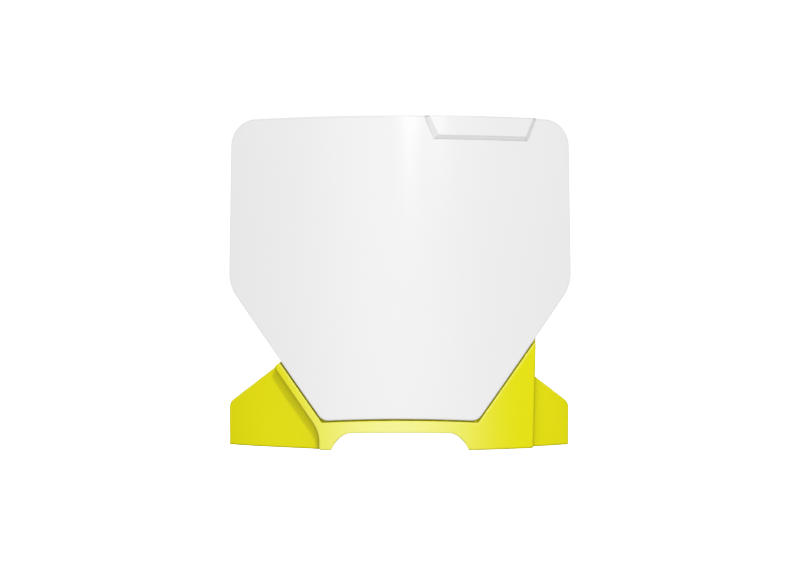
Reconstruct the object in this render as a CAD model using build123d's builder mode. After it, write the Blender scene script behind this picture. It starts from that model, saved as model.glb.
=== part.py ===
from build123d import *
from math import asin, atan2, cos, degrees, hypot, radians, sin, sqrt, tan
import os

os.makedirs("parts", exist_ok=True)

# Whole board, heights counted from the foot line, depths from the front of the curve
curve_radius = 220.0
wall = 2.5
seat_height = 180.0
seat_setback = 50.0

# Number panel, front view
panel_top = 239.5
panel_top_width = 248.0
panel_side_width = 252.0
shoulder_height = 118.0
panel_foot_width = 111.2
panel_foot_height = 20.9
panel_foot_rise = 1.9
top_corner_radius = 19.0
shoulder_radius = 28.0
foot_corner_radius = 8.5
edge_round = 1.0
rim_depth = 5.0
rim_clearance = 0.8

# Raised pad at the top right
pad_rise = 3.2
pad_foot_height = 222.3
pad_foot_left = 24.0
pad_foot_right = 92.2
pad_side_lean = 21.5
pad_slope = 45.0
pad_round = 0.6

# Skirt, front view
panel_gap = 1.2
strip_width = 5.4
strip_run = 52.3
strip_foot_x = 58.2
strip_bend_radius = 24.0
wing_foot_x = 96.8
wing_lean = 1.5
arch_half_width = 49.1
arch_corner_x = 37.6
arch_height = 12.9
arch_drop = 0.6
arch_bow = 1.55
arch_radius = 9.0
corner_round = 1.5
strip_end_round = 2.5
tip_round = 1.0
skirt_edge_round = 0.8

# Side flaps: flat walls stepped back from the skin, tilted forward and bent at their outer ends
flap_inset = 0.9
flap_shift = 1.4
flap_drop = 1.0
flap_step = 7.0
flap_angle = 25.0
flap_end_angle = 40.0
flap_bend_radius = 130.0
flap_tilt = 3.5
flap_top_slope = 37.5
flap_corner_radius = 8.0
flap_chamfer = 0.6

# Ledge behind the panel, screw domes and screws
ledge_width = 17.0
ledge_lap = 2.5
screw_inset = 9.0
upper_screw_run = 36.0
boss_diameter = 8.0
boss_length = 9.0
dome_clearance = 1.0
dome_wall = 2.0
screw_core = 3.2
screw_grip = 7.5
pilot_spare = 1.0
screw_hole_clearance = 0.6
screw_head_diameter = 8.0
screw_head_height = 2.6
socket_width = 4.0
socket_depth = 1.6

# Mounting tab on the panel's back
tab_width = 24.0
tab_thickness = 4.0
clamp_screw = 6.0
clamp_screw_clearance = 0.25
gusset_spread = 19.0
gusset_reach = 34.0
gusset_drop = 40.0
gusset_thickness = 2.5

# Lugs behind the feet
lug_x = 54.0
lug_width = 6.0
lug_height = 8.0
lug_base = 3.0
lug_reach = 40.0
lug_chamfer = 2.0

# Derived places
foot_x = panel_foot_width / 2
side_x = panel_side_width / 2
top_x = panel_top_width / 2
slope_length = hypot(side_x - foot_x, shoulder_height - panel_foot_height)
slope_x = (side_x - foot_x) / slope_length
slope_z = (shoulder_height - panel_foot_height) / slope_length
flap_end_x = side_x - flap_inset
root_depth = wall / 2
through = curve_radius / 2

front = Plane(origin=(0, -seat_setback, -seat_height), x_dir=(1, 0, 0), z_dir=(0, -1, 0))
above = Plane(origin=(0, -seat_setback, -seat_height), x_dir=(1, 0, 0), z_dir=(0, 0, 1))
axis_above = Plane(above.origin + Vector(0, curve_radius, 0), x_dir=(1, 0, 0), z_dir=(0, 0, 1))
tilt = radians(flap_tilt)
tilted = Plane(above.origin, x_dir=(1, 0, 0), z_dir=(0, -sin(tilt), cos(tilt)))


def behind(depth):
    return Plane(front.origin + Vector(0, depth, 0), x_dir=(1, 0, 0), z_dir=(0, -1, 0))


def depth_at(x):
    return curve_radius - sqrt(curve_radius**2 - x**2)


def beside_panel(run, out):
    return (foot_x + run * slope_x + out * slope_z, panel_foot_height + run * slope_z - out * slope_x)


def mirrored(point):
    return (-point[0], point[1])


# Panel outline and the outlines that follow it
with BuildSketch() as panel_shape:
    with BuildLine():
        Polyline(
            (foot_x, panel_foot_height),
            (side_x, shoulder_height),
            (top_x, panel_top),
            (-top_x, panel_top),
            (-side_x, shoulder_height),
            (-foot_x, panel_foot_height),
        )
        ThreePointArc(
            (-foot_x, panel_foot_height),
            (0, panel_foot_height + panel_foot_rise),
            (foot_x, panel_foot_height),
        )
    make_face()
    shoulders = panel_shape.vertices().filter_by_position(Axis.Y, shoulder_height, shoulder_height)
    fillet(shoulders, radius=shoulder_radius)
    fillet(panel_shape.vertices().group_by(Axis.Y)[-1], radius=top_corner_radius)
    sharp_foot = panel_shape.sketch
    fillet(panel_shape.vertices().group_by(Axis.Y)[0], radius=foot_corner_radius)

gap_outline = offset(sharp_foot, amount=panel_gap, kind=Kind.INTERSECTION)
wide_outline = offset(panel_shape.sketch, amount=panel_gap + ledge_lap)
ledge_inner = offset(panel_shape.sketch, amount=-ledge_width)

# Skirt field: everything the skirt covers, the ground behind the panel's foot included
strip_out = panel_gap + strip_width
knee_run = (strip_foot_x - beside_panel(0, strip_out)[0]) / slope_x
strip_knee = mirrored(beside_panel(knee_run, strip_out))
strip_top = mirrored(beside_panel(strip_run, strip_out))
strip_end = mirrored(beside_panel(strip_run, panel_gap))
strip_back = mirrored(beside_panel(strip_run, -ledge_width - wall))
wing_rate = tan(radians(wing_lean))
slope_rate = slope_x / slope_z
wing_tip_z = (wing_foot_x - foot_x + panel_foot_height * slope_rate) / (slope_rate - wing_rate)
wing_tip = (wing_foot_x + wing_tip_z * wing_rate, wing_tip_z)
wing_back = beside_panel((wing_tip_z - panel_foot_height) / slope_z, -ledge_width - wall)
arch_corner_z = arch_height - arch_drop
arch_lean = atan2(arch_corner_z, arch_half_width - arch_corner_x)
arch_mid_x = (arch_half_width + arch_corner_x) / 2 + arch_bow * sin(arch_lean)
arch_mid_z = arch_corner_z / 2 + arch_bow * cos(arch_lean)

with BuildSketch() as skirt_field:
    with BuildLine():
        Polyline(
            (-arch_half_width, 0),
            (-strip_foot_x, 0),
            strip_knee,
            strip_top,
            strip_back,
            wing_back,
            wing_tip,
            (wing_foot_x, 0),
            (arch_half_width, 0),
        )
        ThreePointArc((arch_half_width, 0), (arch_mid_x, arch_mid_z), (arch_corner_x, arch_corner_z))
        ThreePointArc((arch_corner_x, arch_corner_z), (0, arch_height), (-arch_corner_x, arch_corner_z))
        ThreePointArc((-arch_corner_x, arch_corner_z), (-arch_mid_x, arch_mid_z), (-arch_half_width, 0))
    make_face()
    for corner, size in (
        (strip_knee, strip_bend_radius),
        (strip_top, strip_end_round),
        ((-strip_foot_x, 0), corner_round),
        ((wing_foot_x, 0), corner_round),
        ((arch_half_width, 0), corner_round),
        ((-arch_half_width, 0), corner_round),
        ((arch_corner_x, arch_corner_z), arch_radius),
        ((-arch_corner_x, arch_corner_z), arch_radius),
    ):
        fillet(skirt_field.vertices().sort_by_distance((*corner, 0))[0], radius=size)

with BuildSketch() as skin_shape:
    add(skirt_field.sketch)
    add(gap_outline, mode=Mode.SUBTRACT)
    fillet(skin_shape.vertices().sort_by_distance((*wing_tip, 0))[0], radius=tip_round)
    fillet(skin_shape.vertices().sort_by_distance((*strip_end, 0))[0], radius=corner_round)
    for side in (-1, 1):
        gap_corner = (side * foot_x, panel_foot_height - panel_gap, 0)
        fillet(skin_shape.vertices().sort_by_distance(gap_corner)[0], radius=tip_round)

rim_inner = offset(panel_shape.sketch, amount=-wall)
rim_break = offset(skirt_field.sketch, amount=rim_clearance)
field_left = Pos(wall, 0) * skirt_field.sketch
field_right = Pos(-wall, 0) * skirt_field.sketch
ledge_shape = (skirt_field.sketch & wide_outline) - ledge_inner

# Flap fields, right and left, as seen from the front; the left flap stands further out
flap_in_x = arch_half_width
flap_top_x = -strip_top[0] - flap_shift
flap_top_z = strip_top[1] - flap_drop
flap_corner_z = flap_top_z - (flap_end_x - flap_top_x) * tan(radians(flap_top_slope))
with BuildSketch() as flap_field:
    Polygon(
        (flap_in_x, 0),
        (flap_end_x, 0),
        (flap_end_x, flap_corner_z),
        (flap_top_x, flap_top_z),
        (flap_in_x, flap_top_z),
        align=None,
    )
    outer_corner = flap_field.vertices().sort_by_distance((flap_end_x, flap_corner_z, 0))[0]
    fillet(outer_corner, radius=flap_corner_radius)


def to_left(shape):
    return Pos(-flap_shift, 0) * mirror(shape, about=Plane.YZ)


left_field = to_left(flap_field.sketch)
flap_right = flap_field.sketch - field_right
flap_left = left_field - field_left
step_right = (flap_field.sketch & skirt_field.sketch) - field_right - gap_outline
step_left = (left_field & skirt_field.sketch) - field_left - gap_outline

# Screw places, as seen from the front
upper_screw = beside_panel(upper_screw_run, -screw_inset)
lower_screw = (0, panel_foot_height + panel_foot_rise + screw_inset)
screw_places = (upper_screw, lower_screw, mirrored(upper_screw))


def boss_end(place):
    return depth_at(place[0]) + wall + boss_length


# Pad, or the hollow a wall's thickness behind it: a cone-footed band cut to tapering ends
def pad_block(back, top):
    slope = radians(pad_slope)
    inset = back * (1 - sin(slope)) / cos(slope)
    skin = curve_radius - back
    foot = pad_foot_height + inset
    left = asin(pad_foot_left / curve_radius)
    right = asin(pad_foot_right / curve_radius)
    middle = (left + right) / 2
    chord = skin * cos((right - left) / 2)
    half = skin * sin((right - left) / 2) - inset
    lean = tan(radians(pad_side_lean))
    run = panel_top - pad_foot_height
    outward = Vector(sin(middle), -cos(middle), 0)
    ends = Plane(
        axis_above.origin + outward * chord + Vector(0, 0, foot),
        x_dir=(cos(middle), sin(middle), 0),
        z_dir=outward,
    )
    radial = Plane(axis_above.origin, x_dir=(0, -1, 0), z_dir=(-1, 0, 0))
    with BuildPart() as block:
        with BuildSketch(radial):
            Polygon(
                (skin - root_depth, foot),
                (skin, foot),
                (skin + pad_rise, foot + pad_rise * tan(slope)),
                (skin + pad_rise, top),
                (skin - root_depth, top),
                align=None,
            )
        revolve(axis=Axis(axis_above.origin, (0, 0, 1)), revolution_arc=degrees(2 * right))
        with BuildSketch(ends):
            Polygon(
                (-half + run * lean, -run),
                (half - run * lean, -run),
                (half + 2 * run * lean, 2 * run),
                (-half - 2 * run * lean, 2 * run),
                align=None,
            )
        extrude(amount=skin - chord + 2 * pad_rise, taper=pad_slope, mode=Mode.INTERSECT)
    return block.part


with BuildPart() as pad_solid:
    add(pad_block(0, panel_top))
    pad_face = pad_solid.faces().filter_by(GeomType.CYLINDER).sort_by(lambda face: face.radius)[-1]
    fillet(pad_face.edges(), radius=pad_round)
pad_hollow = pad_block(wall, panel_top - wall)

# Hollow that leaves the rim along the panel's free edges
with BuildPart() as panel_hollow:
    with BuildSketch(axis_above):
        Circle(curve_radius - wall)
        Circle(curve_radius - wall - 2 * rim_depth, mode=Mode.SUBTRACT)
    extrude(amount=panel_top)
    with BuildSketch(front):
        add(rim_inner)
        add(rim_break)
    extrude(amount=through, both=True, mode=Mode.INTERSECT)

# Bosses on the panel's back, rooted inside its wall
with BuildPart() as panel_bosses:
    for place in screw_places:
        with BuildSketch(behind(boss_end(place))):
            with Locations(place):
                Circle(boss_diameter / 2)
        extrude(amount=through)
    with BuildSketch(axis_above):
        Circle(curve_radius - root_depth)
    extrude(amount=panel_top, mode=Mode.INTERSECT)
    for place in screw_places:
        with BuildSketch(behind(boss_end(place))):
            with Locations(place):
                Circle(screw_core / 2)
        extrude(amount=screw_grip + pilot_spare, mode=Mode.SUBTRACT)

with BuildPart() as number_panel:
    with BuildSketch(axis_above):
        Circle(curve_radius)
        Circle(curve_radius - wall - rim_depth, mode=Mode.SUBTRACT)
    extrude(amount=panel_top)
    with BuildSketch(front):
        add(panel_shape.sketch)
    extrude(amount=through, both=True, mode=Mode.INTERSECT)
    add(panel_hollow.part, mode=Mode.SUBTRACT)
    fillet(number_panel.faces().sort_by(SortBy.AREA)[-1].edges(), radius=edge_round)
    add(pad_solid.part)
    add(pad_hollow, mode=Mode.SUBTRACT)
    with BuildSketch(Plane.XY):
        Circle(tab_width / 2)
        Rectangle(tab_width, seat_setback - root_depth, align=(Align.CENTER, Align.MAX))
        Circle(clamp_screw / 2 + clamp_screw_clearance, mode=Mode.SUBTRACT)
    extrude(amount=tab_thickness)
    for side in (-1, 1):
        with BuildSketch(Plane.YZ.offset(side * gusset_spread / 2)):
            Polygon(
                (root_depth - seat_setback, 0),
                (gusset_reach - seat_setback, 0),
                (root_depth - seat_setback, -gusset_drop),
                align=None,
            )
        extrude(amount=gusset_thickness / 2, both=True)
    add(panel_bosses.part)
number_panel.part.label = "number_panel"
export_step(number_panel.part, "parts/number_panel.step")

# Flaps in plan: a flat run from behind the skin, then a wide bend
flap_lean = radians(flap_angle)
flap_end_lean = radians(flap_end_angle)
flap_last_lean = flap_end_lean + 2 * wall / flap_bend_radius
flap_mid_lean = (flap_lean + flap_last_lean) / 2
bend_x = flap_end_x - flap_bend_radius * sin(flap_end_lean)
bend_start_x = bend_x + flap_bend_radius * sin(flap_lean)


def flap_line(x, back):
    run = x - strip_foot_x + flap_shift
    return (x, depth_at(strip_foot_x) + flap_step + run * tan(flap_lean) + back / cos(flap_lean))


bend_depth = flap_line(bend_start_x, 0)[1] + flap_bend_radius * cos(flap_lean)


def about_bend(back, lean):
    radius = flap_bend_radius - back
    return (bend_x + radius * sin(lean), bend_depth - radius * cos(lean))


with BuildSketch() as flap_plan:
    with BuildLine():
        Line(flap_line(flap_in_x, 0), about_bend(0, flap_lean))
        ThreePointArc(about_bend(0, flap_lean), about_bend(0, flap_mid_lean), about_bend(0, flap_last_lean))
        Line(about_bend(0, flap_last_lean), about_bend(wall, flap_last_lean))
        ThreePointArc(
            about_bend(wall, flap_last_lean),
            about_bend(wall, flap_mid_lean),
            about_bend(wall, flap_lean),
        )
        Line(about_bend(wall, flap_lean), flap_line(flap_in_x, wall))
        Line(flap_line(flap_in_x, wall), flap_line(flap_in_x, 0))
    make_face()
left_plan = to_left(flap_plan.sketch)

with BuildSketch() as step_plan:
    Polygon(
        (flap_in_x, -through),
        (flap_end_x, -through),
        flap_line(flap_end_x, wall),
        flap_line(flap_in_x, wall),
        align=None,
    )
left_step_plan = to_left(step_plan.sketch)


def flap_rims():
    fronts = flaps.faces().filter_by(lambda face: face.normal_at(face.center()).Y < -cos(flap_last_lean))
    upright = Axis(tilted.origin, tilted.z_dir)
    outer_x = (bend_start_x + flap_end_x) / 2
    ends = fronts.edges().filter_by(upright).filter_by(lambda edge: abs(edge.center().X) > outer_x)
    foot_z = flap_chamfer - seat_height
    tops = fronts.edges().filter_by(upright, reverse=True).filter_by(lambda edge: edge.center().Z > foot_z)
    return tops + ends


with BuildPart() as flaps:
    with BuildSketch(tilted):
        add(flap_plan.sketch)
        add(left_plan)
    extrude(amount=panel_top, both=True)
    with BuildSketch(front):
        add(flap_field.sketch)
        add(left_field)
    extrude(amount=through, both=True, mode=Mode.INTERSECT)
    chamfer(flap_rims(), length=flap_chamfer)
    with BuildSketch(front):
        add(flap_right)
        add(flap_left)
    extrude(amount=through, both=True, mode=Mode.INTERSECT)

# Step walls from the skirt's skin back to the flaps
with BuildPart() as step_walls:
    with BuildSketch(front):
        add(step_right)
        add(step_left)
    extrude(amount=through, both=True)
    with BuildSketch(axis_above):
        Circle(curve_radius - root_depth)
    extrude(amount=panel_top, mode=Mode.INTERSECT)
    with BuildSketch(tilted):
        add(step_plan.sketch)
        add(left_step_plan)
    extrude(amount=panel_top, both=True, mode=Mode.INTERSECT)

# Ledge the panel sits on, and the domes that take the panel's bosses
dome_bore = boss_diameter + 2 * dome_clearance
with BuildPart() as ledge:
    with BuildSketch(front):
        add(ledge_shape)
    extrude(amount=through, both=True)
    with BuildSketch(axis_above):
        Circle(curve_radius - wall)
        Circle(curve_radius - 2 * wall, mode=Mode.SUBTRACT)
    extrude(amount=panel_top, mode=Mode.INTERSECT)

with BuildPart() as domes:
    for place in screw_places:
        with BuildSketch(behind(boss_end(place) + wall)):
            with Locations(place):
                Circle(dome_bore / 2 + dome_wall)
        extrude(amount=through)
    with BuildSketch(axis_above):
        Circle(curve_radius - wall)
    extrude(amount=panel_top, mode=Mode.INTERSECT)

lug_root = depth_at(lug_x) + root_depth
lug_tip_y = lug_reach - seat_setback
with BuildPart() as lower_skirt:
    with BuildSketch(axis_above):
        Circle(curve_radius)
        Circle(curve_radius - wall, mode=Mode.SUBTRACT)
    extrude(amount=panel_top)
    with BuildSketch(front):
        add(skin_shape.sketch)
    extrude(amount=through, both=True, mode=Mode.INTERSECT)
    fillet(lower_skirt.faces().sort_by(SortBy.AREA)[-1].edges(), radius=skirt_edge_round)
    add(step_walls.part)
    add(flaps.part)
    add(ledge.part)
    add(domes.part)
    for place in screw_places:
        with BuildSketch(behind(boss_end(place))):
            with Locations(place):
                Circle(dome_bore / 2)
        extrude(amount=through, mode=Mode.SUBTRACT)
        with BuildSketch(behind(boss_end(place) + wall)):
            with Locations(place):
                Circle(screw_core / 2 + screw_hole_clearance)
        extrude(amount=wall, mode=Mode.SUBTRACT)
    for side in (-1, 1):
        with BuildSketch(behind(lug_root)):
            with Locations((side * lug_x, lug_base)):
                Rectangle(lug_width, lug_height, align=(Align.CENTER, Align.MIN))
        extrude(amount=lug_root - lug_reach)
    chamfer(lower_skirt.faces().filter_by_position(Axis.Y, lug_tip_y, lug_tip_y).edges(), length=lug_chamfer)
lower_skirt.part.label = "lower_skirt"
export_step(lower_skirt.part, "parts/lower_skirt.step")

with BuildPart() as panel_screws:
    for place in screw_places:
        head_seat = boss_end(place) + wall
        with BuildSketch(behind(head_seat)):
            with Locations(place):
                Circle(screw_core / 2)
        extrude(amount=wall + screw_grip)
        with BuildSketch(behind(head_seat)):
            with Locations(place):
                Circle(screw_head_diameter / 2)
        extrude(amount=-screw_head_height)
        with BuildSketch(behind(head_seat + screw_head_height)):
            with Locations(place):
                RegularPolygon(socket_width / 2, 6, major_radius=False)
        extrude(amount=socket_depth, mode=Mode.SUBTRACT)
panel_screws.part.label = "panel_screws"
export_step(panel_screws.part, "parts/panel_screws.step")
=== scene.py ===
import math

import bmesh
import bpy
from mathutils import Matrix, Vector


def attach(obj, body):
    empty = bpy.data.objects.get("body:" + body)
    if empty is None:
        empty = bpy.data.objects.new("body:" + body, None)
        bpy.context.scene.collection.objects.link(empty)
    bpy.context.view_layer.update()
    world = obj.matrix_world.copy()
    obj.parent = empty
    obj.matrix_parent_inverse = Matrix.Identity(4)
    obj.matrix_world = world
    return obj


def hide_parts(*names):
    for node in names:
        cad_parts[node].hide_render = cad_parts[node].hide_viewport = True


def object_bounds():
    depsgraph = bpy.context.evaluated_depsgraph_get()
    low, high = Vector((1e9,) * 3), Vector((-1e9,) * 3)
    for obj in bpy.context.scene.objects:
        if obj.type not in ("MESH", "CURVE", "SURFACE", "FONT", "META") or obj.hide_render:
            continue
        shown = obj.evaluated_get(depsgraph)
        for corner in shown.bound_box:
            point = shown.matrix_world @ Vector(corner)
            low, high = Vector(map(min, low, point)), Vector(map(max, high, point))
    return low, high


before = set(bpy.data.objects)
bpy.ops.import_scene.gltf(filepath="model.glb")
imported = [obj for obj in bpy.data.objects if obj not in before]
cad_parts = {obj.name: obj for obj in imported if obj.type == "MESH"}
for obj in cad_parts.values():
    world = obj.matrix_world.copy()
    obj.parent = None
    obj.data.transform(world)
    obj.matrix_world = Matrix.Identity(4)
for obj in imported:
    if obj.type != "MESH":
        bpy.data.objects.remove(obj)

mm = 0.001
scene = bpy.context.scene
cadBounds = [list(corner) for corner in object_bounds()]
print("frame loaded:", sorted(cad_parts))


# small helpers for node trees
def addNode(tree, kind, label, **values):
    node = tree.nodes.new(kind)
    node.label = label
    for name, value in values.items():
        setattr(node, name, value)
    return node


def setInputs(node, **values):
    for name, value in values.items():
        node.inputs[name.replace("_", " ")].default_value = value
    return node


# gives each socket a fixed value, or a link from another node
def feed(tree, sockets, given):
    for socket, value in zip(sockets, given):
        if isinstance(value, bpy.types.NodeSocket):
            tree.links.new(value, socket)
        else:
            socket.default_value = value


def addMath(tree, work, label, *given, **values):
    node = addNode(tree, "ShaderNodeMath", label, operation=work, **values)
    feed(tree, node.inputs, given)
    return node.outputs[0]


def joinVectors(tree, work, label, *given):
    node = addNode(tree, "ShaderNodeVectorMath", label, operation=work)
    feed(tree, node.inputs, given)
    return node.outputs["Value" if work == "DOT_PRODUCT" else "Vector"]


mixSockets = {"FLOAT": (0, 2, 3, 0), "RGBA": (0, 6, 7, 2)}  # share, first, second, result


def addMix(tree, kind, label, *given):
    node = addNode(tree, "ShaderNodeMix", label, data_type=kind)
    *entries, result = mixSockets[kind]
    feed(tree, [node.inputs[k] for k in entries], given)
    return node.outputs[result]


def addNoise(tree, place, label, scale, detail, roughness=0.5):
    noise = addNode(tree, "ShaderNodeTexNoise", label)
    setInputs(noise, Scale=scale, Detail=detail, Roughness=roughness)
    tree.links.new(place, noise.inputs["Vector"])
    return noise.outputs["Fac"]


# a noise lies mostly between 0.3 and 0.7
def spread(tree, value, label, low, high, fromLow=0.3, fromHigh=0.7):
    span = addNode(tree, "ShaderNodeMapRange", label)
    setInputs(span, From_Min=fromLow, From_Max=fromHigh, To_Min=low, To_Max=high)
    tree.links.new(value, span.inputs["Value"])
    return span.outputs["Result"]


def addBump(tree, height, label, distance, under=None):
    bump = addNode(tree, "ShaderNodeBump", label)
    setInputs(bump, Strength=1.0, Distance=distance)
    tree.links.new(height, bump.inputs["Height"])
    if under is not None:
        tree.links.new(under, bump.inputs["Normal"])
    return bump.outputs["Normal"]


def addBevel(tree, label, look, radius):
    bevel = addNode(tree, "ShaderNodeBevel", label, samples=look["edgeSamples"])
    return setInputs(bevel, Radius=radius).outputs["Normal"]


def startFinish(name):
    finish = bpy.data.materials.new(name)
    finish.use_nodes = True
    tree = finish.node_tree
    return finish, tree, tree.nodes["Principled BSDF"]


def addTint(tree, label, share, look):
    return addMix(tree, "RGBA", label, share, (*look["deepColour"], 1), (*look["paleColour"], 1))


# moulded plastic: glossy on the show side, spark-eroded grain on the hidden side
def mouldedFinish(name, look):
    finish, tree, shader = startFinish(name)
    coords = addNode(tree, "ShaderNodeTexCoord", "part space")
    place = coords.outputs["Object"]

    cloud = addNoise(tree, place, "pigment cloud", look["cloudScale"], detail=3)
    fleck = addNoise(tree, place, "pigment fleck", look["fleckScale"], detail=2)
    flow = addMix(tree, "FLOAT", "cloud with fleck", look["fleckShare"], cloud, fleck)
    pigment = addTint(tree, "pigment", spread(tree, flow, "pigment share", 0, 1), look)

    # openness is 1 on a free face and falls down in the gaps; from it comes a painted shade in the
    # base colour, darker down in the gaps and between the parts
    gap = addNode(tree, "ShaderNodeAmbientOcclusion", "gaps", samples=look["gapSamples"])
    openness = setInputs(gap, Distance=look["gapReach"]).outputs["AO"]
    paintedGapShade = spread(tree, openness, "painted gap shade", look["gapShadeTone"], 1, *look["gapShadeRange"])

    # the show side faces -Y and the hidden side +Y
    facing = addNode(tree, "ShaderNodeSeparateXYZ", "facing")
    tree.links.new(coords.outputs["Normal"], facing.inputs[0])
    shown = spread(tree, facing.outputs["Y"], "show side", 1, 0, *look["showFacing"])
    hidden = spread(tree, facing.outputs["Y"], "hidden side", 0, 1, *look["hiddenFacing"])

    # how far an edge turns, and whether it turns away from the board's middle
    shape = addNode(tree, "ShaderNodeNewGeometry", "shape")
    normals = (addBevel(tree, "edge belt", look, look["rimReach"]), shape.outputs["Normal"])
    turn = joinVectors(tree, "DOT_PRODUCT", "edge turn", *normals)
    lean = joinVectors(tree, "SUBTRACT", "edge lean", *normals)
    inward = joinVectors(tree, "SUBTRACT", "to the middle", look["rimMiddle"], place)
    side = joinVectors(tree, "DOT_PRODUCT", "edge side", lean, inward)

    # shade on the show side's outer edges
    rim = addMath(
        tree, "MULTIPLY", "outer edge",
        spread(tree, turn, "edge share", look["rimShade"], 0, *look["rimTurn"]),
        spread(tree, side, "outer share", 1, 0, *look["sideBlend"]),
    )
    rim = addMath(tree, "MULTIPLY", "outer show edge", rim, shown)
    # the pigment is darkened by the painted shade in the gaps and the painted shade on the outer
    # edges
    tone = addMath(tree, "SUBTRACT", "tone", paintedGapShade, rim, use_clamp=True)
    colour = joinVectors(tree, "MULTIPLY", "toned pigment", pigment, tone)
    tree.links.new(colour, shader.inputs["Base Color"])

    # gloss by side, duller in the gaps and on the edges along them
    gloss = addMix(
        tree, "FLOAT", "gloss by side", hidden,
        spread(tree, cloud, "show side gloss", *look["showRoughness"]),
        spread(tree, fleck, "hidden side gloss", *look["hiddenRoughness"]),
    )
    gapGloss = spread(tree, openness, "gap gloss", look["gapRoughness"], 0, *look["gapGlossRange"])
    gloss = addMath(tree, "MAXIMUM", "dull in gaps", gloss, gapGloss)
    inner = addMath(
        tree, "MULTIPLY", "inner edge",
        spread(tree, turn, "edge gloss", look["edgeDull"], 0, *look["dullTurn"]),
        spread(tree, side, "inner share", 0, 1, *look["sideBlend"]),
    )
    gloss = addMath(tree, "MAXIMUM", "dull on inner edges", gloss, inner)
    tree.links.new(gloss, shader.inputs["Roughness"])
    # painted shade on the gloss: the specular tint goes dark down in the gaps
    mirror = spread(tree, openness, "painted shade on the gloss in gaps", 0, 1, *look["gapMirrorRange"])
    tree.links.new(mirror, shader.inputs["Specular Tint"])
    setInputs(shader, Specular_IOR_Level=look["specular"])

    # eased edges, then the long ripple of cooled plastic, fine skin and eroded grain
    ripple = addNoise(tree, place, "cooling ripple", look["rippleScale"], detail=1)
    skin = addNoise(tree, place, "moulded skin", look["skinScale"], detail=2)
    spark = addNoise(tree, place, "eroded grain", look["grainScale"], detail=3, roughness=0.6)
    grain = addMath(tree, "MULTIPLY", "grain on hidden side", spark, hidden)
    relief = addBevel(tree, "eased edges", look, look["edgeRound"])
    relief = addBump(tree, ripple, "ripple", look["rippleDepth"], relief)
    relief = addBump(tree, skin, "skin", look["skinDepth"], relief)
    relief = addBump(tree, grain, "grain", look["grainDepth"], relief)
    tree.links.new(relief, shader.inputs["Normal"])
    return finish


panelLook = {
    "deepColour": (0.79, 0.79, 0.79),
    "paleColour": (0.81, 0.81, 0.81),
    "cloudScale": 16.0,
    "fleckScale": 700.0,
    "fleckShare": 0.35,
    "specular": 0.235,
    "showRoughness": (0.13, 0.15),
    "hiddenRoughness": (0.5, 0.62),
    "showFacing": (-0.6, -0.2),
    "hiddenFacing": (0.05, 0.4),
    "rippleScale": 32.0,
    "rippleDepth": 0.02 * mm,
    "skinScale": 1500.0,
    "skinDepth": 0.004 * mm,
    "grainScale": 1400.0,
    "grainDepth": 0.05 * mm,
    "gapSamples": 16,
    "gapReach": 7.5 * mm,
    "gapShadeTone": 0.92,
    "gapShadeRange": (0.35, 1.0),
    "gapRoughness": 0.8,
    "gapGlossRange": (0.35, 0.8),
    "gapMirrorRange": (0.35, 0.85),
    "edgeSamples": 8,
    "edgeRound": 0.4 * mm,
    "edgeDull": 0.0,
    "dullTurn": (0.95, 0.999),
    "rimReach": 3 * mm,
    "rimMiddle": (0, 0, -85 * mm),
    "rimShade": 0.35,
    "rimTurn": (0.9, 0.995),
    "sideBlend": (-0.002, 0.0),
}
skirtLook = dict(
    panelLook,
    deepColour=(0.735, 0.697, 0.0006),
    paleColour=(0.755, 0.716, 0.0007),
    cloudScale=22.0,
    specular=0.6,
    rippleScale=40.0,
    gapShadeTone=0.62,
    edgeRound=0.7 * mm,
    edgeDull=0.65,
    rimShade=0.52,
)
panelFinish = mouldedFinish("panelWhite", panelLook)
skirtFinish = mouldedFinish("skirtYellow", skirtLook)
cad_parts["number_panel"].data.materials[0] = panelFinish
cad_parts["lower_skirt"].data.materials[0] = skirtFinish
print("moulded finishes on the panel and the skirt")


# zinc-plated steel with the rings a lathe leaves, read from each screw's own radius
def platedFinish(name, look):
    finish, tree, shader = startFinish(name)
    coords = addNode(tree, "ShaderNodeTexCoord", "part space")
    bloom = addNoise(tree, coords.outputs["Object"], "zinc bloom", look["bloomScale"], detail=4)
    zinc = addTint(tree, "zinc", spread(tree, bloom, "bloom share", 0, 1), look)
    tree.links.new(zinc, shader.inputs["Base Color"])
    gloss = spread(tree, bloom, "plating gloss", *look["roughness"])
    tree.links.new(gloss, shader.inputs["Roughness"])
    radius = addNode(tree, "ShaderNodeAttribute", "turning radius", attribute_name="turnRadius")
    perMetre = 2 * math.pi / look["ringPitch"]
    turns = addMath(tree, "MULTIPLY", "turning rings", radius.outputs["Fac"], perMetre)
    rings = addBump(tree, addMath(tree, "SINE", "ring height", turns), "rings", look["ringDepth"])
    tree.links.new(rings, shader.inputs["Normal"])
    setInputs(shader, Metallic=1.0)
    return finish


screwLook = {
    "deepColour": (0.42, 0.43, 0.45),
    "paleColour": (0.62, 0.63, 0.64),
    "bloomScale": 420.0,
    "roughness": (0.26, 0.42),
    "ringPitch": 0.22 * mm,
    "ringDepth": 0.006 * mm,
}
screwFinish = platedFinish("screwZinc", screwLook)


# small helpers for meshes
def meshObject(name, build):
    mesh = bpy.data.meshes.new(name)
    build.to_mesh(mesh)
    build.free()
    return bpy.data.objects.new(name, mesh)


# four-sided faces from each ring of points to the next
def skinRings(build, loops):
    for first, second in zip(loops, loops[1:]):
        for k in range(len(first)):
            n = (k + 1) % len(first)
            build.faces.new((first[k], first[n], second[n], second[k]))


def anglesAround(count):
    return [2 * math.pi * k / count for k in range(count)]


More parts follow.
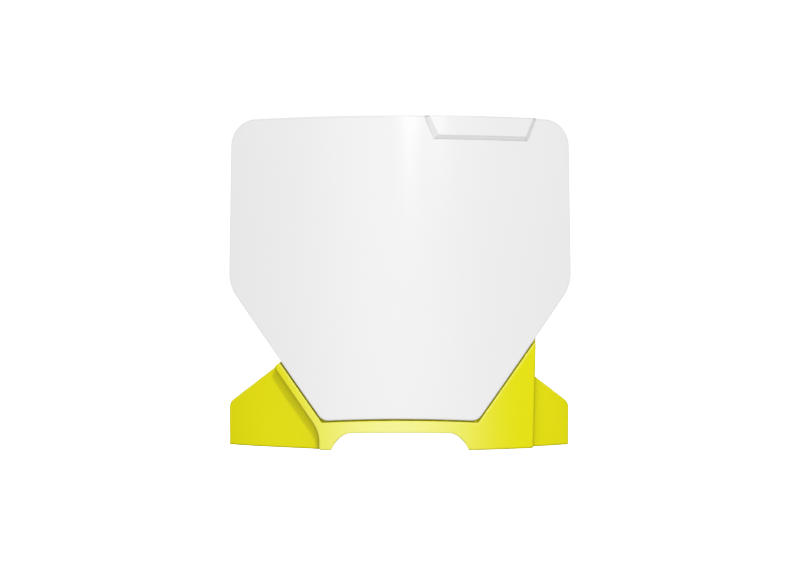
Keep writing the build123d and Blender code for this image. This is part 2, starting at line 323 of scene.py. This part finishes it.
# thread-forming screws, driven from behind; y runs from the head's seat to its crown
screwSize = {
    "headRadius": 4.0 * mm,
    "headHeight": 2.6 * mm,
    "crownRound": 1.5 * mm,
    "crownSteps": 8,
    "seatRound": 0.25 * mm,
    "seatStep": 0.3,  # share of the seat's rounding
    "socketWidth": 4.0 * mm,
    "socketDepth": 1.5 * mm,
    "socketLead": 0.25 * mm,
    "socketMouth": 2.4 * mm,
    "drillPoint": 0.1 * mm,
    "neckRadius": 1.265 * mm,
    "coreRadius": 1.15 * mm,
    "crestRadius": 1.6 * mm,
    "length": 10.0 * mm,
    "threadPitch": 1.4 * mm,
    "threadStart": 1.0 * mm,
    "threadEnd": 0.6 * mm,  # before the tip
    "crestHalf": 0.3,  # half of the ridge, as a share of a turn
    "tipLength": 1.5 * mm,
    "tipShare": 0.35,  # radius left at the tip
    "ringsPerTurn": 10,
    "around": 48,
    "sharpAngle": 32,
    "turn": math.pi / 3,  # most that chance turns a screw
    "chance": 4,
}
screwSeats = [  # x, seat y, z of the three heads
    (-69.44 * mm, -24.75 * mm, -124.67 * mm),
    (0.0, -36.0 * mm, -148.2 * mm),
    (69.44 * mm, -24.75 * mm, -124.67 * mm),
]


def hexRadius(angle, apothem):
    step = math.pi / 3
    return apothem / math.cos((angle + step / 2) % step - step / 2)


def threadRadius(angle, depth, size):
    into = depth - size["threadStart"]
    left = size["length"] - size["threadEnd"] - depth
    fade = max(0.0, min(1.0, into / size["threadPitch"], left / size["tipLength"]))
    turn = (depth / size["threadPitch"] - angle / (2 * math.pi)) % 1.0
    ridge = max(0.0, 1 - abs(turn - 0.5) / size["crestHalf"])
    return size["coreRadius"] + (size["crestRadius"] - size["coreRadius"]) * ridge * fade


# y and the radius at each angle, from the socket's floor over the head to the tip
def screwRings(size, angles):
    crown = size["headHeight"]
    hexagon = [hexRadius(a, size["socketWidth"] / 2) for a in angles]
    yield crown - size["socketDepth"], hexagon
    yield crown - size["socketLead"], hexagon

    rounding, edge = size["crownRound"], size["seatRound"]
    flat = size["headRadius"] - rounding
    step = edge * size["seatStep"]
    profile = [(crown, size["socketMouth"])]
    for k in range(size["crownSteps"] + 1):
        lean = math.pi / 2 * k / size["crownSteps"]
        profile.append((crown - rounding * (1 - math.cos(lean)), flat + rounding * math.sin(lean)))
    profile += [
        (edge, size["headRadius"]),
        (step, size["headRadius"] - step),
        (0.0, size["headRadius"] - edge),
        (0.0, size["neckRadius"]),
    ]
    for y, radius in profile:
        yield y, [radius] * len(angles)

    steps = int(size["length"] / size["threadPitch"] * size["ringsPerTurn"])
    for k in range(1, steps):
        depth = size["length"] * k / steps
        left = (size["length"] - depth) / size["tipLength"]
        taper = min(1.0, size["tipShare"] + (1 - size["tipShare"]) * left)
        yield -depth, [threadRadius(a, depth, size) * taper for a in angles]


def makeScrew(size):
    build = bmesh.new()
    turnRadius = build.verts.layers.float.new("turnRadius")

    def addVert(x, y, z):
        vert = build.verts.new((x, y, z))
        vert[turnRadius] = math.hypot(x, z)
        return vert

    angles = anglesAround(size["around"])
    loops = []
    for y, radii in screwRings(size, angles):
        loops.append([addVert(r * math.sin(a), y, r * math.cos(a)) for r, a in zip(radii, angles)])
    skinRings(build, loops)
    pit = addVert(0, size["headHeight"] - size["socketDepth"] - size["drillPoint"], 0)
    tip = addVert(0, -size["length"], 0)
    for k in range(size["around"]):
        n = (k + 1) % size["around"]
        build.faces.new((pit, loops[0][n], loops[0][k]))
        build.faces.new((tip, loops[-1][k], loops[-1][n]))
    bmesh.ops.recalc_face_normals(build, faces=build.faces)
    for face in build.faces:
        face.smooth = True
    for line in build.edges:
        line.smooth = line.calc_face_angle() <= math.radians(size["sharpAngle"])
    return meshObject("screwPattern", build)


# starts a node tree with named inputs and one result
def startTree(name, inputs, result):
    tree = bpy.data.node_groups.new(name, "GeometryNodeTree")
    for title, kind in inputs.items():
        tree.interface.new_socket(title, in_out="INPUT", socket_type="NodeSocket" + kind)
    tree.interface.new_socket(result, in_out="OUTPUT", socket_type="NodeSocketGeometry")
    return tree, addNode(tree, "NodeGroupInput", "sizes").outputs


# ends a node tree: one pattern on every point, made real, with its finish
def setPatterns(tree, given, points, turn):
    pattern = addNode(tree, "GeometryNodeObjectInfo", "pattern")
    setOn = addNode(tree, "GeometryNodeInstanceOnPoints", "set on points")
    real = addNode(tree, "GeometryNodeRealizeInstances", "make real")
    coat = addNode(tree, "GeometryNodeSetMaterial", "finish")
    done = addNode(tree, "NodeGroupOutput", "done")
    link = tree.links.new
    link(given["Pattern"], pattern.inputs["Object"])
    link(points, setOn.inputs["Points"])
    link(pattern.outputs["Geometry"], setOn.inputs["Instance"])
    link(turn, setOn.inputs["Rotation"])
    link(setOn.outputs[0], real.inputs[0])
    link(real.outputs[0], coat.inputs["Geometry"])
    link(given["Finish"], coat.inputs["Material"])
    link(coat.outputs[0], done.inputs[0])


# a screw on every seat, each turned by chance about its own axis
def screwTree(name):
    inputs = {
        "Seats": "Geometry", "Pattern": "Object", "Finish": "Material",
        "Turn": "Float", "Chance": "Int",
    }
    tree, given = startTree(name, inputs, "Screws")
    chance = addNode(tree, "FunctionNodeRandomValue", "turn by chance", data_type="FLOAT")
    turn = addNode(tree, "ShaderNodeCombineXYZ", "about y")
    tree.links.new(given["Turn"], chance.inputs[3])
    tree.links.new(given["Chance"], chance.inputs["Seed"])
    tree.links.new(chance.outputs[1], turn.inputs["Y"])
    setPatterns(tree, given, given["Seats"], turn.outputs[0])
    return tree


# runs a tree on a carrier mesh and keeps the result as a plain mesh
def growPiece(name, carrier, tree, values):
    scene.collection.objects.link(values["Pattern"])
    maker = bpy.data.objects.new(name + "Maker", carrier)
    scene.collection.objects.link(maker)
    modifier = maker.modifiers.new("grow", "NODES")
    modifier.node_group = tree
    for socket in tree.interface.items_tree:
        if socket.name in values:
            modifier[socket.identifier] = values[socket.name]
    bpy.context.view_layer.update()
    grown = maker.evaluated_get(bpy.context.evaluated_depsgraph_get())
    mesh = bpy.data.meshes.new_from_object(grown)
    mesh.name = name
    maker.modifiers.remove(modifier)
    bpy.data.objects.remove(maker)
    bpy.data.objects.remove(values["Pattern"])
    piece = bpy.data.objects.new(name, mesh)
    scene.collection.objects.link(piece)
    return piece


seatMesh = bpy.data.meshes.new("screwSeats")
seatMesh.from_pydata(screwSeats, [], [])
screws = growPiece(
    "panelScrews",
    seatMesh,
    screwTree("screwSetter"),
    {
        "Pattern": makeScrew(screwSize),
        "Finish": screwFinish,
        "Turn": screwSize["turn"],
        "Chance": screwSize["chance"],
    },
)
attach(screws, "root")
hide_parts("panel_screws")
print("screws:", len(screws.data.polygons), "faces")

# round witness marks that the mould's ejector pins leave on the panel's back
pinMark = {
    "acrossSpan": 132.0 * mm,
    "upSpan": 110.0 * mm,
    "columns": 4,
    "rows": 3,
    "middleHeight": -45.0 * mm,
    "radius": 3.2 * mm,
    "rimWidth": 0.35 * mm,
    "rimHeight": 0.14 * mm,
    "rimCrest": (0.35, 0.65),  # shares of the rim's width
    "rimShoulder": 0.5,  # share of the rim's height
    "dishHeight": 0.05 * mm,
    "rootDepth": 0.08 * mm,
    "around": 40,
    "backRadius": 217.5 * mm,
    "backAxis": 170.0 * mm,
}


def makeMark(size):
    outside, rim, top = size["radius"], size["rimWidth"], size["rimHeight"]
    rings = [
        (outside, -size["rootDepth"]),
        (outside, top * size["rimShoulder"]),
        *((outside - rim * share, top) for share in size["rimCrest"]),
        (outside - rim, size["dishHeight"]),
    ]
    build = bmesh.new()
    loops = []
    for radius, y in rings:
        places = [
            (radius * math.sin(a), y, radius * math.cos(a)) for a in anglesAround(size["around"])
        ]
        loops.append([build.verts.new(place) for place in places])
    skinRings(build, loops)
    build.faces.new(loops[-1])
    build.faces.new(loops[0])
    bmesh.ops.recalc_face_normals(build, faces=build.faces)
    return meshObject("pinMark", build)


# a grid of points laid on the panel's inner curve, with one mark square to it on each
def markTree(name):
    inputs = {
        "Across": "Float", "Up": "Float", "Columns": "Int", "Rows": "Int", "Height": "Float",
        "Curve radius": "Float", "Curve axis": "Float", "Pattern": "Object", "Finish": "Material",
    }
    tree, given = startTree(name, inputs, "Marks")
    link = tree.links.new
    grid = addNode(tree, "GeometryNodeMeshGrid", "grid of marks")
    link(given["Across"], grid.inputs["Size X"])
    link(given["Up"], grid.inputs["Size Y"])
    link(given["Columns"], grid.inputs["Vertices X"])
    link(given["Rows"], grid.inputs["Vertices Y"])
    place = addNode(tree, "GeometryNodeInputPosition", "grid place")
    split = addNode(tree, "ShaderNodeSeparateXYZ", "across and up")
    link(place.outputs[0], split.inputs[0])

    radius = given["Curve radius"]
    sine = addMath(tree, "DIVIDE", "across by radius", split.outputs["X"], radius)
    lean = addMath(tree, "ARCSINE", "lean of the curve", sine)
    cosine = addMath(tree, "COSINE", "cosine", lean)
    reach = addMath(tree, "MULTIPLY", "reach from axis", cosine, radius)
    laid = addNode(tree, "ShaderNodeCombineXYZ", "place on the curve")
    feed(tree, laid.inputs, (
        split.outputs["X"],
        addMath(tree, "SUBTRACT", "in front of axis", given["Curve axis"], reach),
        addMath(tree, "ADD", "height", split.outputs["Y"], given["Height"]),
    ))

    # the lean is kept from before the points move
    keepLean = addNode(tree, "GeometryNodeCaptureAttribute", "keep the lean")
    keepLean.capture_items.new("FLOAT", "lean")
    link(grid.outputs["Mesh"], keepLean.inputs["Geometry"])
    link(lean, keepLean.inputs["lean"])
    lay = addNode(tree, "GeometryNodeSetPosition", "lay on the curve")
    link(keepLean.outputs["Geometry"], lay.inputs["Geometry"])
    link(laid.outputs[0], lay.inputs["Position"])
    square = addNode(tree, "ShaderNodeCombineXYZ", "square to the curve")
    link(keepLean.outputs["lean"], square.inputs["Z"])
    setPatterns(tree, given, lay.outputs[0], square.outputs[0])
    return tree


marks = growPiece(
    "ejectorMarks",
    bpy.data.meshes.new("markStart"),
    markTree("markSetter"),
    {
        "Across": pinMark["acrossSpan"],
        "Up": pinMark["upSpan"],
        "Columns": pinMark["columns"],
        "Rows": pinMark["rows"],
        "Height": pinMark["middleHeight"],
        "Curve radius": pinMark["backRadius"],
        "Curve axis": pinMark["backAxis"],
        "Pattern": makeMark(pinMark),
        "Finish": panelFinish,
    },
)
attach(marks, "root")
print("ejector marks:", len(marks.data.polygons), "faces")

# white sweep: plain white to the camera, lights the board from its front half, hardly mirrored
stage = {
    "floorHeight": cadBounds[0][2],
    "floorHalf": 4.0,
    "floorGlow": 2.3,
    "floorTint": (0.85, 0.85, 0.85),
    "frontAxis": (-0.208, -0.978, 0.0),
    "frontFill": 0.85,
    "backFill": 0.15,
    "skyBlend": (-0.15, 0.15),
    "floorBlend": (-0.16, -0.06),
    "skyWhite": 3.0,
    "glossFill": 0.02,
}


def addSmoothStep(tree, label, value, fromRange, toRange):
    ramp = addNode(tree, "ShaderNodeMapRange", label, interpolation_type="SMOOTHSTEP")
    feed(tree, ramp.inputs[:5], (value, *fromRange, *toRange))
    return ramp.outputs["Result"]


# strength that falls from the front half to the back half
def addFill(tree, kind, blend, size):
    place = addNode(tree, "ShaderNodeTexCoord", "place").outputs["Object"]
    front = joinVectors(tree, "DOT_PRODUCT", "towards the front", place, size["frontAxis"])
    strengths = (size["backFill"], size["frontFill"])
    strength = addSmoothStep(tree, "front or back", front, blend, strengths)
    fill = addNode(tree, kind, "fill")
    tree.links.new(strength, fill.inputs["Strength"])
    return fill


def pickByRay(tree, ray, other, wanted):
    path = addNode(tree, "ShaderNodeLightPath", "kind of ray")
    pick = addNode(tree, "ShaderNodeMixShader", ray.lower())
    feed(tree, pick.inputs, (path.outputs[ray], other.outputs[0], wanted.outputs[0]))
    return pick


def makeFloor(size):
    build = bmesh.new()
    bmesh.ops.create_grid(build, x_segments=8, y_segments=8, size=size["floorHalf"])
    bmesh.ops.translate(build, verts=build.verts, vec=(0, 0, size["floorHeight"]))
    floor = meshObject("paleFloor", build)
    floor.visible_glossy = False
    floor.visible_shadow = False
    scene.collection.objects.link(floor)

    finish, tree, shader = startFinish("palePaper")
    finish.cycles.emission_sampling = "NONE"
    tree.nodes.remove(shader)
    paper = addNode(tree, "ShaderNodeBsdfDiffuse", "paper")
    setInputs(paper, Color=(*size["floorTint"], 1))
    glow = setInputs(addNode(tree, "ShaderNodeEmission", "glow"), Strength=size["floorGlow"])
    seen = addNode(tree, "ShaderNodeAddShader", "seen")
    feed(tree, seen.inputs, (paper.outputs[0], glow.outputs[0]))
    fill = addFill(tree, "ShaderNodeEmission", size["floorBlend"], size)
    pick = pickByRay(tree, "Is Camera Ray", fill, seen)
    tree.links.new(pick.outputs[0], tree.nodes["Material Output"].inputs["Surface"])
    floor.data.materials.append(finish)
    return floor


makeFloor(stage)


def makeSky(size):
    sky = bpy.data.worlds.new("whiteStudio")
    scene.world = sky
    sky.use_nodes = True
    sky.cycles.sampling_method = "NONE"
    tree = sky.node_tree
    tree.nodes.clear()
    white = addNode(tree, "ShaderNodeBackground", "white")
    setInputs(white, Strength=size["skyWhite"])
    dark = addNode(tree, "ShaderNodeBackground", "dark")
    setInputs(dark, Strength=size["glossFill"])
    fill = addFill(tree, "ShaderNodeBackground", size["skyBlend"], size)
    for light in (white, dark, fill):
        setInputs(light, Color=(1, 1, 1, 1))
    unseen = pickByRay(tree, "Is Glossy Ray", fill, dark)
    pick = pickByRay(tree, "Is Camera Ray", unseen, white)
    out = addNode(tree, "ShaderNodeOutputWorld", "out")
    tree.links.new(pick.outputs[0], out.inputs["Surface"])


makeSky(stage)
print("floor and white studio")

# a lamp with a bell shows only in the gloss and fades from its middle
lamps = {
    "keyLamp": {
        "place": (0.35, -1.52, 1.12), "aim": (-0.08, -0.03, -0.14), "size": (0.09, 0.09),
        "watts": 16.0,
    },
    "sheenBox": {
        "place": (-0.10, -2.0, -0.03), "aim": (0, -0.03, -0.03), "size": (5.0, 4.0),
        "strength": 7.3, "bell": (4.6, 2.5),
    },
    "streakBox": {
        "place": (0.12, -1.62, 0.54), "aim": (0.12, -0.03, 0.54), "size": (0.19, 0.96),
        "strength": 11.0, "bell": (2.0, 0.0), "rise": (0.15, 0.185), "riseGain": 13.0,
    },
    "padBox": {
        "place": (0.47, -1.62, 0.38), "aim": (0.47, -0.03, 0.38), "size": (0.16, 0.38),
        "strength": 40.0, "bell": (1.5, 0.0),
    },
    "rearBox": {
        "place": (0.0, 2.2, 0.9), "aim": (0, 0, 0), "size": (1.8, 1.2),
        "watts": 34.0,
    },
}


# strength over a lamp's face: a bell each way, and a brighter upper part where it has a rise
def gradeLamp(light, look):
    light.use_nodes = True
    tree = light.node_tree
    spot = addNode(tree, "ShaderNodeNewGeometry", "place on the lamp")
    split = addNode(tree, "ShaderNodeSeparateXYZ", "across and up")
    tree.links.new(spot.outputs["Parametric"], split.inputs[0])
    bells = []
    for axis, width in zip("XY", look["bell"]):
        off = addMath(tree, "SUBTRACT", "off the middle", split.outputs[axis], 0.5)
        square = addMath(tree, "MULTIPLY", "off squared", off, off)
        bells.append(addMath(tree, "MULTIPLY", "bell", square, -4.0 * width))
    fade = addMath(tree, "EXPONENT", "fade", addMath(tree, "ADD", "both bells", *bells))
    power = addMath(tree, "MULTIPLY", "strength", fade, look["strength"])
    if "rise" in look:
        gains = (1.0, look["riseGain"])
        rise = addSmoothStep(tree, "brighter above", split.outputs["Y"], look["rise"], gains)
        power = addMath(tree, "MULTIPLY", "with the rise", power, rise)
    tree.links.new(power, tree.nodes["Emission"].inputs["Strength"])


def addLamp(name, look):
    light = bpy.data.lights.new(name, "AREA")
    light.shape = "RECTANGLE"
    light.size, light.size_y = look["size"]
    lamp = bpy.data.objects.new(name, light)
    lamp.location = look["place"]
    beam = Vector(look["aim"]) - Vector(look["place"])
    lamp.rotation_euler = beam.to_track_quat("-Z", "Y").to_euler()
    lamp.visible_camera = False
    if "bell" in look:
        gradeLamp(light, look)
        light.energy = math.pi * light.size * light.size_y  # one unit of brightness, before the grade
        lamp.visible_diffuse = False
    else:
        light.energy = look["watts"]
    scene.collection.objects.link(lamp)


for name, look in lamps.items():
    addLamp(name, look)
print("lamps:", len(lamps))

# level camera, square to the board; plain display with a soft shoulder on the highlights
shot = {
    "place": (0.0, -1.25, -0.0605),
    "lens": 75.825,
    "sensor": 36.0,
    "shoulder": [
        (0.0, 0.0), (0.78, 0.78), (0.89, 0.831), (1.08, 0.893), (1.35, 0.945), (1.65, 0.98),
        (2.1, 1.0),
    ],
}
cameraData = bpy.data.cameras.new("boardCamera")
cameraData.lens = shot["lens"]
cameraData.sensor_width = shot["sensor"]
camera = bpy.data.objects.new("boardCamera", cameraData)
camera.location = shot["place"]
camera.rotation_euler = (math.pi / 2, 0, 0)
scene.collection.objects.link(camera)
scene.camera = camera

view = scene.view_settings
view.view_transform = "Standard"
view.look = "None"
view.use_curve_mapping = True
tone = view.curve_mapping
first, *between, last = shot["shoulder"]
tone.clip_max_x = last[0]
curve = tone.curves[3]
curve.points[0].location = first
curve.points[1].location = last
for step in between:
    curve.points.new(*step)
for point in curve.points:
    point.handle_type = "VECTOR"
tone.update()
print("camera and display set")
